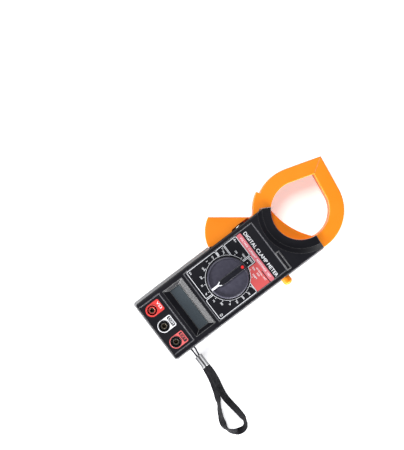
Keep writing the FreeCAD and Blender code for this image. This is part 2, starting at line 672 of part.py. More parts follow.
def moving_shell(front):
    name = "moving_jaw_front_shell" if front else "moving_jaw_rear_shell"
    heights, hollow, face = shell_heights(front)
    inner, outer = "bore_radius + jaw_wall", "rim_radius - jaw_wall"
    curve = band("bore_radius", "rim_radius", FLANK_MOVING, "root_angle")
    knuckle = [KNUCKLE, ("knuckle_radius", "210")]
    curve[2:3] = [(*KNUCKLE, "knuckle_radius", JAW_CENTRE, -1), jaw_point(*knuckle[1]),
                  (*jaw_point("rim_radius", "210"), "rim_radius", JAW_CENTRE, -1)]
    ring = prism(name + "_ring", curve, *heights)
    soften(ring, "0.9", is_rim(face))
    arm = prism(name + "_arm", arm_outline(), *heights)
    trigger_arc = value("pivot_x") - 12
    soften(arm, "0.9", lambda middle, edge: abs(middle.z - face) < 0.01 and middle.x < trigger_arc)
    hub = post(name + "_hub", *PIVOT, "hub_radius", *heights)
    solid = fuse(name + "_solid", ring, arm, hub)
    pocket = [(*about(PIVOT, "13", "224"), "13", PIVOT, 1), about(PIVOT, "13", "248"),
              (*about(PIVOT, "32.6", "248"), "32.6", PIVOT, -1), about(PIVOT, "32.6", "224")]
    room = prism(name + "_room", band(inner, outer, FLANK_MOVING, "220", to_tip=False), *hollow)
    core = prism(name + "_way", core_outline(FLANK_MOVING, "root_angle + 5"), "core_low", "core_high")
    tools = [room, core, prism(name + "_pocket", pocket, *hollow),
             post(name + "_pin_hole", *PIVOT, "pivot_radius + 0.05", "0", "30"), *jaw_gaps(name)]
    if front:
        well = cut("spring_well", post("spring_well_round", *PIVOT, "9.2", "hub_high", "29"),
                   box("spring_well_side", ("pivot_x - 12", "pivot_x - 7.1"),
                       ("pivot_y - 12", "pivot_y + 12"), ("hub_high - 1", "30")))
        tools += [well,
                  box("spring_leg_way", ("pivot_x - 7.4", "pivot_x - 5.3"), ("pivot_y", "pivot_y + 14.5"),
                      ("hub_high", "29"))]
    else:
        tools.append(post("washer_well", *PIVOT, "7", "0", "4.8"))
    tools += screw_ways(name, MOVING_SCREWS, front)
    return node(name, cut(name, solid, *tools))


def core(name, first, last):
    body = prism(name + "_bar", core_outline(first, last), "core_low", "core_high")
    return node(name, cut(name, body, *jaw_gaps(name)))


def winding(name, first, last):
    """A coil round a stretch of the core."""
    body = prism(name + "_out", band("core_inner - 1.1", "core_outer + 1.1", first, last, to_tip=False),
                 "core_low - 1.2", "core_high + 1.2")
    inside = prism(name + "_in", band("core_inner", "core_outer", first, last, to_tip=False), "core_low", "core_high")
    return node(name, cut(name, body, inside))


def jaws():
    for front in (True, False):
        fixed_shell(front)
        moving_shell(front)
    core("fixed_jaw_core", FLANK_FIXED, "root_angle - 357.5")
    core("moving_jaw_core", FLANK_MOVING, "root_angle")
    winding("fixed_jaw_coil", "-60", "-110")
    winding("moving_jaw_coil", "175", "205")
    screws("fixed_jaw_screws", FIXED_SCREWS, "1.9", "jaw_low + 0.2", "1.1", "22")
    screws("moving_jaw_screws", MOVING_SCREWS, "1.9", "jaw_low + 0.2", "1.1", "22")
    node("jaw_pivot_pin", post("jaw_pivot_pin", *PIVOT, "pivot_radius", "1.2", "29.6"))
    node("pivot_washer", tube("pivot_washer", *PIVOT, "6.4", "pivot_radius", "sill", "4.5"))


def jaw_spring():
    """A torsion spring on the pin: one leg on the case's peg, one against the arm."""
    x, y = value("pivot_x"), value("pivot_y")
    radius, wire, low, high = 6.0, 0.6, 22.0, 27.0
    coil = coil_wire(x, y, radius, wire, low, high, 2.75)
    to_right, up = FreeCAD.Vector(1, 0, 0), FreeCAD.Vector(0, 1, 0)
    arm_leg = Part.makeCylinder(wire, 7.5, FreeCAD.Vector(x - radius, y, 0), up)
    arm_leg.translate(FreeCAD.Vector(0, 0, low + 0.2))
    case_leg = Part.makeCylinder(wire, 15, FreeCAD.Vector(x, y - radius, high), to_right)
    return coil, arm_leg, case_leg


# ---- sockets, board and battery --------------------------------------------------------------

def sockets():
    for name, x in SOCKETS.items():
        body = post(f"socket_{name}_body", x, "socket_y", "socket_radius", "socket_low", "face_height + 0.15")
        well = tube(f"socket_{name}_well", x, "socket_y", "socket_radius - 0.6", "3.4", "13", "face_height + 1")
        bore = post(f"socket_{name}_bore", x, "socket_y", "2.7", "0", "40")
        trim = post(f"socket_{name}_trim", x, "socket_y", "3.5", "face_height - 0.6", "40")
        node(f"socket_{name}", cut(f"socket_{name}", body, well, bore, trim))
        barrel = post(f"contact_{name}_barrel", x, "socket_y", "2.7", "8.2", "face_height - 1")
        foot = box(f"contact_{name}_foot", (f"{x} - 1.2", f"{x} + 1.2"), ("socket_y", "-60.9"), ("8.2", "9"))
        riser = box(f"contact_{name}_riser", (f"{x} - 1.2", f"{x} + 1.2"), ("-61.7", "-60.9"), ("8.2", "board_low"))
        hole = post(f"contact_{name}_hole", x, "socket_y", "bore_of_contact", "11.5", "40")
        solid = fuse(f"contact_{name}_solid", barrel, foot, riser)
        node(f"contact_{name}", cut(f"contact_{name}", solid, hole))


def board():
    lower = box("board_lower", ("-board_side", "board_side"), ("-62.6", "9.5"), ("board_low", "board_high"))
    upper = box("board_upper", ("-14.5", "board_side"), ("9", "62"), ("board_low", "board_high"))
    holes = [post(f"board_hole_{index}", x, y, "3.7", "0", "40") for index, (x, y) in enumerate(CASE_SCREWS)]
    holes.append(box("board_notch", ("23", "32"), ("hold_y - 6", "hold_y + 6"), ("10", "30")))
    node("main_board", cut("main_board", fuse("board_solid", lower, upper), *holes))

    under = "board_low"
    node("measuring_chip", box("measuring_chip", ("-1", "13"), ("-21", "-7"), (f"{under} - 2.1", under)))
    group("trimmers", [box(f"trimmer_{i}", (f"{x} - 3.2", f"{x} + 3.2"), ("-27.6", "-21.2"), (f"{under} - 4.2", under))
                       for i, x in enumerate((-21, -13, -5))])
    group("resistors", [rod(f"resistor_{i}", ("15", f"12 + {4 * i}", f"{under} - 1.15"), "1.1", "6.6", "x")
                        for i in range(9)])
    group("capacitors", [post(f"capacitor_{i}", "8", f"{18 + 8 * i}", "2.6", f"{under} - 7", under)
                         for i in range(3)])
    node("input_thermistor", rod("input_thermistor", ("20", "-27.5", f"{under} - 4.4"), "4.2", "2.2", "y"))
    node("buzzer_disc", post("buzzer_disc", "14", "30", "11", "wall", "wall + 0.7"))
    body = box("hold_switch_body", ("14", "22.5"), ("hold_y - 4", "hold_y + 4"), ("board_high", "27.4"))
    way = rod("hold_switch_way", ("18.5", "hold_y", "hold_height"), "1.75", "10", "x")
    node("hold_switch", cut("hold_switch", body, way))


def group(name, members):
    """Equal small pieces kept as one node of separate solids."""
    compound = doc.addObject("Part::Compound", name)
    compound.Links = members
    return node(name, compound)


def hold_button():
    cap = rod("hold_cap", ("28.3", "hold_y", "hold_height"), "hold_radius", "9.5", "x")
    dome = doc.addObject("Part::Ellipsoid", "hold_dome")
    drive(dome, Radius1="3.5", Radius2="hold_radius", Base_x="37.8", Base_y="hold_y", Base_z="hold_height")
    dome.Placement.Rotation = TURNS["x"]
    stem = rod("hold_stem", ("20.2", "hold_y", "hold_height"), "1.6", "8.5", "x")
    node("hold_button", fuse("hold_button", cap, dome, stem))


def battery():
    left = "-22"
    middle = "battery_low + battery_tall / 2"
    block = prism("battery_block", [
        (left, "battery_y - battery_wide / 2"), (f"{left} + battery_long", "battery_y - battery_wide / 2"),
        (f"{left} + battery_long", "battery_y + battery_wide / 2"), (left, "battery_y + battery_wide / 2")],
        "battery_low", "battery_low + battery_tall")
    soften(block, "2", lambda point, edge: abs(edge.tangentAt(edge.FirstParameter).x) > 0.9)
    studs = [rod(f"battery_stud_{side + 2}", (f"{left} - 2", f"battery_y + {side} * 6.35", middle), radius, "2.2", "x")
             for side, radius in ((-1, "2.9"), (1, "3.9"))]
    node("battery_9v", fuse("battery_9v", block, *studs))
    node("battery_snap", box("battery_snap", (f"{left} - 3.7", f"{left} - 2.05"),
                             ("battery_y - 12.5", "battery_y + 12.5"), (f"{middle} - 5.6", f"{middle} + 5.6")))
    for name, side in (("battery_lead_red", -1), ("battery_lead_black", 1)):
        y, z = value("battery_y") + 3 * side, value(middle)
        node(name, round_cord(name, [[(-25.75, y, z), (-28.1, y, z), (-28.1, y, value("board_low"))]], 0.6))
    leads = [[(x, 64.7, 17.0), (x, 59.0, 17.0), (x, 59.0, value("board_low"))] for x in (-10.6, -8.2)]
    node("coil_leads", round_cord("coil_leads", leads, 0.5))


# ---- wrist strap ----------------------------------------------------------------------------

# The strap's webbing, as it lies: out along one ply, round the far loop and back.
STRAP_OUT = [(54.0, -62.8), (64.5, -63.6), (74.5, -65.7), (84.5, -69.2), (94.0, -73.6), (103.0, -79.0),
             (112.0, -82.8), (119.5, -83.4), (125.6, -79.8)]
STRAP_BACK = [(54.0, -61.2), (64.0, -61.0), (74.0, -62.0), (84.0, -64.4), (94.0, -65.8), (104.0, -64.7),
              (114.0, -63.4), (123.5, -63.0), (129.3, -67.0), (129.6, -73.6), (125.6, -79.8)]
PLY_LOW, PLY_HIGH = 0.6, 3.2


def strap():
    y = value("strap_y")
    crimp = value("crimp_y")
    pair = [(50.0, crimp - 1.1, 2.4), (44.0, crimp - 1.2, 2.7), (38.0, y - 1.9, 5.4), (33.5, y - 2.05, 7.0),
            (30.6, y - 2.05, 7.0), (27.95, y - 1.3, 7.0), (27.6, y + 0.5, 7.0), (28.8, y + 2.0, 7.0),
            (31.6, y + 2.05, 7.0), (35.5, y + 1.95, 6.2), (40.0, y + 1.2, 4.4), (44.6, crimp + 1.15, 2.7),
            (50.0, crimp + 1.1, 2.4)]
    node("strap_cord", round_cord("strap_cord", [pair], 0.75))

    outer = box("crimp_out", ("crimp_start", "crimp_end"), ("crimp_y - 3.75", "crimp_y + 3.75"), ("0.5", "4.3"))
    through = ("crimp_start - 1", "crimp_end + 1")
    sleeve = cut("crimp_sleeve", outer,
                 box("crimp_in", through, ("crimp_y - 3", "crimp_y + 3"), ("1.2", "3.6")),
                 box("crimp_seam", through, ("crimp_y - 0.25", "crimp_y + 0.25"), ("3", "5")))
    node("strap_crimp", sleeve)

    plies = []
    for points in (STRAP_OUT, STRAP_BACK):
        path, radii = route([(x, along, PLY_LOW) for x, along in points])
        half = value("strap_width") / 2
        start_point = FreeCAD.Vector(*points[0], PLY_LOW)
        heading = (FreeCAD.Vector(*points[1], PLY_LOW) - start_point).normalize()
        aside = FreeCAD.Vector(-heading.y, heading.x, 0) * half
        rise = FreeCAD.Vector(0, 0, PLY_HIGH - PLY_LOW)
        lower = [start_point - aside, start_point + aside]
        section = Part.makePolygon([*lower, lower[1] + rise, lower[0] + rise, lower[0]])
        plies.append(path.makePipeShell([section], True, False))
        print("strap_webbing radii", [round(r, 1) for r in radii], "length", round(path.Length, 1))
    whole = plies[0].fuse(plies[1])
    past_crimp = Part.makeBox(100, 60, 10, FreeCAD.Vector(value("crimp_end") + 0.1, -110, -1))
    tongue = Part.makeBox(value("crimp_end") - 50 + 1, 5.8, 2.2, FreeCAD.Vector(50.1, crimp - 2.9, 1.3))
    webbing = whole.common(past_crimp).fuse(tongue).removeSplitter()
    node("strap_webbing", ready_made("strap_webbing", webbing))


# ---- the whole meter ------------------------------------------------------------------------

front_cover()
rear_cover()
battery_cover()
screws("case_screws", CASE_SCREWS, "2.8", "4", "1.25", "24")
labels()
display()
range_switch()
jaws()
coil, arm_leg, case_leg = jaw_spring()
node("jaw_spring", ready_made("jaw_spring", coil.fuse([arm_leg, case_leg])))
sockets()
board()
hold_button()
battery()
strap()

doc.recompute()
broken = [item.Name for item in doc.Objects if {"Invalid", "Error"} & set(item.State)]
assert not broken, broken
for item in NODES:
    shape = item.Shape
    assert not shape.isNull() and shape.isValid() and shape.Solids, item.Label

os.makedirs("parts", exist_ok=True)
for item in NODES:
    item.Shape.exportStep(f"parts/{item.Label}.step")
print(len(NODES), "nodes written")
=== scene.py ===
import json
import math

import bpy
from mathutils import Euler, Matrix, Vector


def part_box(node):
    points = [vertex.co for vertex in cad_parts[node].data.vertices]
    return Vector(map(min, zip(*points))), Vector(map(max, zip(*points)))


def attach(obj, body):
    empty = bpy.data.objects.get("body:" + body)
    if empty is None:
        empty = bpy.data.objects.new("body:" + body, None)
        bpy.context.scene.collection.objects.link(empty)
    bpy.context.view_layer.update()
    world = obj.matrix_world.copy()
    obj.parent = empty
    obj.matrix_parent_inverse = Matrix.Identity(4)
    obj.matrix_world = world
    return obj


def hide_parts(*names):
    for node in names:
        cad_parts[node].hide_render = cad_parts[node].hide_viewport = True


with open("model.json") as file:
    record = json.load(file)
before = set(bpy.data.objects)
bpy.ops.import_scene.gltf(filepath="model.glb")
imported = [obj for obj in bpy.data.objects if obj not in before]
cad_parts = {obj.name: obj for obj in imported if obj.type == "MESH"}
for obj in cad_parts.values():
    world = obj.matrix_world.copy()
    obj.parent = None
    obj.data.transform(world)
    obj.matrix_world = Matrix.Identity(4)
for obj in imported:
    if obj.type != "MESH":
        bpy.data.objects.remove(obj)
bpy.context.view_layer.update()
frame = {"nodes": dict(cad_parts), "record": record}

MM = 0.001
scene = bpy.context.scene


# ---- camera, floor and light -----------------------------------------------------------------

def camera():
    data = bpy.data.cameras.new("camera")
    data.lens = 100
    data.clip_end = 20
    eye = bpy.data.objects.new("camera", data)
    eye.location = (-0.0639, 0.0175, 1.2342)
    eye.rotation_euler = Euler([math.radians(turn) for turn in (-0.275, -0.298, 52.796)])
    scene.collection.objects.link(eye)
    scene.camera = eye


def area_light(name, place, target, size, power):
    data = bpy.data.lights.new(name, "AREA")
    data.shape = "RECTANGLE"
    data.size, data.size_y = size
    data.energy = power
    lamp = bpy.data.objects.new(name, data)
    lamp.location = place
    lamp.rotation_euler = (Vector(target) - Vector(place)).to_track_quat("-Z", "Y").to_euler()
    scene.collection.objects.link(lamp)


def studio():
    world = bpy.data.worlds.new("studio")
    world.use_nodes = True
    background = world.node_tree.nodes["Background"]
    background.inputs["Color"].default_value = (0.86, 0.9, 1.0, 1)
    background.inputs["Strength"].default_value = 0.2
    scene.world = world
    scene.view_settings.view_transform = "Standard"
    middle = (0, 0.03, 0.02)
    area_light("key", (-0.62, 0.1, 0.95), middle, (0.45, 0.45), 9.5)
    area_light("foot_strip", (0.1, -0.85, 0.22), (0, -0.03, 0.03), (0.9, 0.1), 17)
    area_light("side_strip", (0.85, -0.15, 0.14), middle, (0.9, 0.12), 24)
    mesh = bpy.data.meshes.new("floor")
    reach = 3
    mesh.from_pydata([(-reach, -reach, 0), (reach, -reach, 0), (reach, reach, 0), (-reach, reach, 0)],
                     [], [(0, 1, 2, 3)])
    floor = bpy.data.objects.new("floor", mesh)
    floor.location.z = -0.0002
    scene.collection.objects.link(floor)
    paper = Graph("floor_paper")
    fibre = paper.noise(600, 3)
    tone = paper.blend(fibre, (0.88, 0.88, 0.89), (0.93, 0.93, 0.94))
    paper.feed("Base Color", tone)
    paper.feed("Emission Color", tone)
    paper.shader.inputs["Emission Strength"].default_value = 0.5
    paper.shader.inputs["Roughness"].default_value = 0.9
    floor.data.materials.append(paper.material)


# ---- materials -------------------------------------------------------------------------------

class Graph:
    """A material's node tree with its Principled shader."""

    def __init__(self, name):
        self.material = bpy.data.materials.new(name)
        self.material.use_nodes = True
        self.tree = self.material.node_tree
        self.shader = self.tree.nodes["Principled BSDF"]

    def add(self, kind, **settings):
        made = self.tree.nodes.new("ShaderNode" + kind)
        for name, setting in settings.items():
            setattr(made, name, setting)
        return made

    def link(self, source, target):
        self.tree.links.new(source, target)

    def feed(self, socket, source):
        """Link a source to one of the shader's sockets."""
        self.link(source, self.shader.inputs[socket])

    def place(self):
        """Coordinates in metres in the object's own frame."""
        return self.add("TexCoord").outputs["Object"]

    def noise(self, scale, detail=3.0, where=None):
        made = self.add("TexNoise")
        made.inputs["Scale"].default_value = scale
        made.inputs["Detail"].default_value = detail
        self.link(where or self.place(), made.inputs["Vector"])
        return made.outputs["Fac"]

    def between(self, factor, low, high):
        """Stretch a 0.3 to 0.7 factor over two values."""
        made = self.add("MapRange")
        made.inputs["From Min"].default_value = 0.3
        made.inputs["From Max"].default_value = 0.7
        made.inputs["To Min"].default_value = low
        made.inputs["To Max"].default_value = high
        self.link(factor, made.inputs["Value"])
        return made.outputs["Result"]

    def blend(self, factor, first, second):
        """Mix two colours; each is a colour or a socket."""
        made = self.add("Mix", data_type="RGBA")
        self.link(factor, made.inputs["Factor"])
        for socket, colour in ((made.inputs[6], first), (made.inputs[7], second)):
            if isinstance(colour, (tuple, list)):
                socket.default_value = (*colour, 1)
            else:
                self.link(colour, socket)
        return made.outputs[2]

    def edges(self, radius):
        """A rounded normal, and a mask that is 1 on sharp edges."""
        rounded = self.add("Bevel", samples=6)
        rounded.inputs["Radius"].default_value = radius
        facing = self.add("VectorMath", operation="DOT_PRODUCT")
        self.link(rounded.outputs["Normal"], facing.inputs[0])
        self.link(self.add("NewGeometry").outputs["Normal"], facing.inputs[1])
        mask = self.add("MapRange")
        mask.inputs["From Min"].default_value = 0.995
        mask.inputs["From Max"].default_value = 0.9
        self.link(facing.outputs["Value"], mask.inputs["Value"])
        return rounded.outputs["Normal"], mask.outputs["Result"]

    def bump(self, height, strength, distance, normal=None):
        made = self.add("Bump")
        made.inputs["Strength"].default_value = strength
        made.inputs["Distance"].default_value = distance
        self.link(height, made.inputs["Height"])
        if normal:
            self.link(normal, made.inputs["Normal"])
        self.feed("Normal", made.outputs["Normal"])


def lighter(colour, share):
    return tuple(part + (1 - part) * share for part in colour)


def darker(colour, share):
    return tuple(part * (1 - share) for part in colour)


def plain(name, colour, roughness, scale, strength, metallic=0.0):
    """A surface with a fine grain and a slight drift of colour."""
    graph = Graph(name)
    graph.shader.inputs["Metallic"].default_value = metallic
    drift = graph.noise(scale / 12, 2)
    graph.feed("Base Color", graph.blend(drift, darker(colour, 0.12), lighter(colour, 0.03)))
    grain = graph.noise(scale)
    graph.feed("Roughness", graph.between(grain, roughness - 0.05, roughness + 0.05))
    graph.bump(grain, strength, 0.0001)
    return graph.material


def moulded(name, colour, roughness, edge=0.0004, edge_highlight=0.1, grain=3200, depth=0.12, coat=0.0, gloss=0.3):
    """Injection-moulded plastic: spark-eroded grain, soft edges painted lighter as a highlight, faint
    scuffs.
    """
    graph = Graph(name)
    shader = graph.shader
    shader.inputs["Specular IOR Level"].default_value = gloss
    shader.inputs["Coat Weight"].default_value = coat
    normal, rim = graph.edges(edge)
    drift = graph.noise(38, 3)
    body = graph.blend(drift, darker(colour, 0.14), lighter(colour, 0.012))
    # Painted highlight: the soft edges are mixed towards a lighter colour along every edge.
    graph.feed("Base Color", graph.blend(rim, body, lighter(colour, edge_highlight)))
    scuffs = graph.noise(420, 6)
    graph.feed("Roughness", graph.between(scuffs, roughness - 0.015, roughness + 0.025))
    graph.bump(graph.noise(grain, 2), depth, 0.00006, normal)
    return graph.material


def metal(name, colour, roughness, brushed=(1, 1, 1), edge=0.0002):
    """Metal with fine lines drawn out along the axis whose share is smallest."""
    graph = Graph(name)
    graph.shader.inputs["Metallic"].default_value = 1.0
    stretch = graph.add("Mapping")
    stretch.inputs["Scale"].default_value = brushed
    graph.link(graph.place(), stretch.inputs["Vector"])
    lines = graph.noise(2600, 3, stretch.outputs["Vector"])
    graph.feed("Base Color", graph.blend(lines, darker(colour, 0.2), colour))
    graph.feed("Roughness", graph.between(lines, roughness - 0.06, roughness + 0.08))
    normal, _ = graph.edges(edge)
    graph.bump(lines, 0.15, 0.00003, normal)
    return graph.material


def ink(name, colour, roughness=0.45):
    """Screen print: a thin even film with small pinholes of density."""
    graph = Graph(name)
    speck = graph.noise(1800, 4)
    graph.feed("Base Color", graph.blend(speck, darker(colour, 0.12), colour))
    graph.shader.inputs["Roughness"].default_value = roughness
    graph.bump(speck, 0.08, 0.00002)
    return graph.material


def display_glass():
    """The switched-off display: grey-green, with painted shade that darkens it towards its low-Y side."""
    graph = Graph("display_grey")
    ramp = graph.add("SeparateXYZ")
    graph.link(graph.place(), ramp.inputs["Vector"])
    across = graph.add("MapRange")
    low, high = (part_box("lcd_window")[side].y for side in (0, 1))
    across.inputs["From Min"].default_value = low
    across.inputs["From Max"].default_value = high
    graph.link(ramp.outputs["Y"], across.inputs["Value"])
    # Painted shade: the glass runs from dark at its low-Y side to lighter at its high-Y side.
    tone = graph.blend(across.outputs["Result"], (0.034, 0.046, 0.06), (0.085, 0.108, 0.125))
    graph.feed("Base Color", tone)
    graph.shader.inputs["Roughness"].default_value = 0.35
    graph.shader.inputs["Specular IOR Level"].default_value = 0.3
    return graph.material


def clear_window():
    graph = Graph("clear_window")
    haze = graph.noise(60, 4)
    graph.feed("Base Color", graph.blend(haze, (0.16, 0.19, 0.21), (0.22, 0.26, 0.28)))
    graph.shader.inputs["Roughness"].default_value = 0.08
    graph.shader.inputs["Alpha"].default_value = 0.1
    graph.shader.inputs["Specular IOR Level"].default_value = 0.7
    return graph.material


def woven():
    """Flat webbing: ribs across its length and a herringbone of warp threads, from its own UVs."""
    graph = Graph("webbing_weave")
    uv = graph.add("UVMap", uv_map="along").outputs["UV"]
    heights = []
    for scale, turn in ((1.0, 52), (1.0, -52)):
        mapping = graph.add("Mapping")
        mapping.inputs["Rotation"].default_value = (0, 0, math.radians(turn))
        graph.link(uv, mapping.inputs["Vector"])
        wave = graph.add("TexWave", wave_type="BANDS")
        wave.inputs["Scale"].default_value = scale * 0.36
        wave.inputs["Distortion"].default_value = 0.6
        graph.link(mapping.outputs["Vector"], wave.inputs["Vector"])
        heights.append(wave.outputs["Fac"])
    weave = graph.add("Math", operation="MULTIPLY")
    graph.link(heights[0], weave.inputs[0])
    graph.link(heights[1], weave.inputs[1])
    height = weave.outputs["Value"]
    graph.feed("Base Color", graph.blend(height, (0.0015, 0.0015, 0.0025), (0.011, 0.0105, 0.015)))
    graph.shader.inputs["Roughness"].default_value = 0.78
    graph.shader.inputs["Specular IOR Level"].default_value = 0.16
    graph.shader.inputs["Sheen Weight"].default_value = 0.03
    graph.shader.inputs["Sheen Roughness"].default_value = 0.5
    graph.bump(height, 0.9, 0.0004)
    return graph.material


def knob_plastic():
    """The knob: brushed grey on its two hollows, near black on the bar, the rim and the skirt."""
    graph = Graph("knob_grey")
    normal, rim = graph.edges(0.0005)
    split = graph.add("SeparateXYZ")
    graph.link(graph.place(), split.inputs["Vector"])
    hollow = graph.add("MapRange", interpolation_type="SMOOTHSTEP")
    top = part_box("selector_knob")[1].z
    hollow.inputs["From Min"].default_value = top - 0.0016
    hollow.inputs["From Max"].default_value = top - 0.0010
    graph.link(split.outputs["Z"], hollow.inputs["Value"])
    streaks = graph.noise(300, 5)
    grey = graph.blend(streaks, (0.036, 0.034, 0.052), (0.062, 0.059, 0.084))
    body = graph.blend(hollow.outputs["Result"], grey, (0.004, 0.004, 0.008))
    graph.feed("Base Color", graph.blend(rim, body, (0.02, 0.02, 0.028)))
    graph.feed("Roughness", graph.between(streaks, 0.32, 0.42))
    graph.shader.inputs["Specular IOR Level"].default_value = 0.35
    graph.bump(graph.noise(1500, 2), 0.15, 0.00006, normal)
    return graph.material


def crimp_tin():
    """The folded crimp: painted highlights on its two rounded lips, and painted shade in the groove
    between them and in the folds beside them.
    """
    graph = Graph("crimp_tin")
    split = graph.add("SeparateXYZ")
    graph.link(graph.place(), split.inputs["Vector"])
    offset = graph.add("Math", operation="SUBTRACT")
    graph.link(split.outputs["Y"], offset.inputs[0])
    offset.inputs[1].default_value = middle_of("strap_crimp").y * MM
    away = graph.add("Math", operation="ABSOLUTE")
    graph.link(offset.outputs["Value"], away.inputs[0])
    light_bands = graph.add("ValToRGB")
    scaled = graph.add("Math", operation="MULTIPLY")
    graph.link(away.outputs["Value"], scaled.inputs[0])
    scaled.inputs[1].default_value = 250.0
    graph.link(scaled.outputs["Value"], light_bands.inputs["Fac"])
    # Painted light across the crimp: the bright stops are painted highlights on the lips, the dark stops
    # painted shade in the groove and folds.
    highlight_and_shade_tones = [(0.0, 0.04), (0.16, 0.06), (0.28, 0.62), (0.5, 0.7), (0.62, 0.1), (0.78, 0.36), (0.95, 0.08)]
    ramp = light_bands.color_ramp.elements
    ramp[0].position, ramp[0].color = 0.0, (0.05, 0.05, 0.055, 1)
    ramp[1].position, ramp[1].color = 0.95, (0.08, 0.08, 0.085, 1)
    for spot, tone in highlight_and_shade_tones[1:-1]:
        ramp.new(spot).color = (tone, tone, tone * 1.02, 1)
    graph.feed("Base Color", light_bands.outputs["Color"])
    graph.shader.inputs["Metallic"].default_value = 0.35
    graph.shader.inputs["Roughness"].default_value = 0.34
    normal, _ = graph.edges(0.0006)
    graph.bump(graph.noise(900, 2), 0.05, 0.00004, normal)
    return graph.material


def dressed():
    """Every CAD node gets its material."""
    # The edge share given to each moulded part paints a highlight along its soft edges.
    black = moulded("case_black", (0.003, 0.0029, 0.0058), 0.32, edge=0.0009, edge_highlight=0.22,
                    depth=0.02, gloss=0.17)
    orange = moulded("jaw_orange", (0.94, 0.25, 0.003), 0.42, edge=0.0006, edge_highlight=0.2, grain=2600, gloss=0.2)
    knob = knob_plastic()
    sheet = moulded("dial_film", (0.003, 0.003, 0.0058), 0.34, edge=0.0001, edge_highlight=0.02,
                    grain=2200, depth=0.02, gloss=0.16)
    red = moulded("socket_red", (0.72, 0.028, 0.02), 0.28, edge=0.0003, edge_highlight=0.2, depth=0.05, coat=0.2)
    dark = moulded("socket_black", (0.008, 0.008, 0.01), 0.3, edge=0.0003, edge_highlight=0.12, depth=0.05, coat=0.2)
    steel = metal("zinc_steel", (0.62, 0.62, 0.6), 0.3)
    brass = metal("dull_brass", (0.3, 0.25, 0.17), 0.36, (1, 1, 0.05))
    copper = metal("enamelled_copper", (0.72, 0.3, 0.12), 0.35, (0.2, 1, 1))
    looks = {
        "case_plastic": black, "jaw_plastic": orange, "knob_plastic": knob, "dial_print": sheet,
        "red_plastic": red, "socket_black": dark, "screw_steel": steel, "steel": steel, "brass": brass,
        "copper": copper, "core_iron": metal("core_laminations", (0.3, 0.3, 0.32), 0.45, (0.02, 0.02, 1)),
        "window_plastic": clear_window(), "lcd_glass": display_glass(),
        "zebra_rubber": plain("zebra_rubber", (0.5, 0.4, 0.42), 0.7, 900, 0.1),
        "inner_plastic": moulded("inner_black", (0.03, 0.03, 0.03), 0.45),
        "board_green": plain("solder_mask", (0.012, 0.13, 0.045), 0.3, 700, 0.15),
        "chip_black": moulded("chip_epoxy", (0.012, 0.012, 0.013), 0.5),
        "trimmer_blue": moulded("trimmer_blue", (0.02, 0.1, 0.5), 0.35),
        "resistor_body": plain("resistor_lacquer", (0.4, 0.55, 0.65), 0.35, 900, 0.1),
        "capacitor_sleeve": plain("capacitor_sleeve", (0.02, 0.02, 0.07), 0.3, 700, 0.05),
        "thermistor": plain("thermistor_lacquer", (0.55, 0.24, 0.04), 0.4, 900, 0.2),
        "battery_sleeve": plain("battery_sleeve", (0.07, 0.07, 0.08), 0.28, 300, 0.05),
        "wire_red": plain("wire_red", (0.55, 0.015, 0.012), 0.45, 900, 0.08),
        "wire_black": plain("wire_black", (0.012, 0.012, 0.012), 0.45, 900, 0.08),
        "crimp_metal": crimp_tin(),
        "strap_cord": plain("strap_cord_cad", (0.02, 0.02, 0.022), 0.7, 1500, 0.4),
        "webbing": plain("webbing_cad", (0.02, 0.02, 0.022), 0.8, 1500, 0.4),
    }
    for part in frame["record"]["subparts"]:
        node = frame["nodes"][part["node"]]
        node.data.materials.clear()
        node.data.materials.append(looks[part["material_slot"]])


# ---- meshes ----------------------------------------------------------------------------------

STROKE_STEP = 0.6          # a line is drawn in steps of about this length, mm
SIZE_PER_CAPITAL = 1.38    # font size over the height of its capitals
FREE_SQUEEZE = 0.9         # width of lettering that has no width of its own


def mesh_of(holder):
    """A mesh of what an object looks like with its modifiers and curve settings."""
    return bpy.data.meshes.new_from_object(holder.evaluated_get(bpy.context.evaluated_depsgraph_get()))


def piece(name, points, faces, material, body):
    """A mesh piece in millimetres of the row frame, riding on a body."""
    mesh = bpy.data.meshes.new(name)
    mesh.from_pydata([Vector(point) * MM for point in points], [], faces)
    mesh.materials.append(material)
    made = bpy.data.objects.new(name, mesh)
    scene.collection.objects.link(made)
    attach(made, body)
    return made


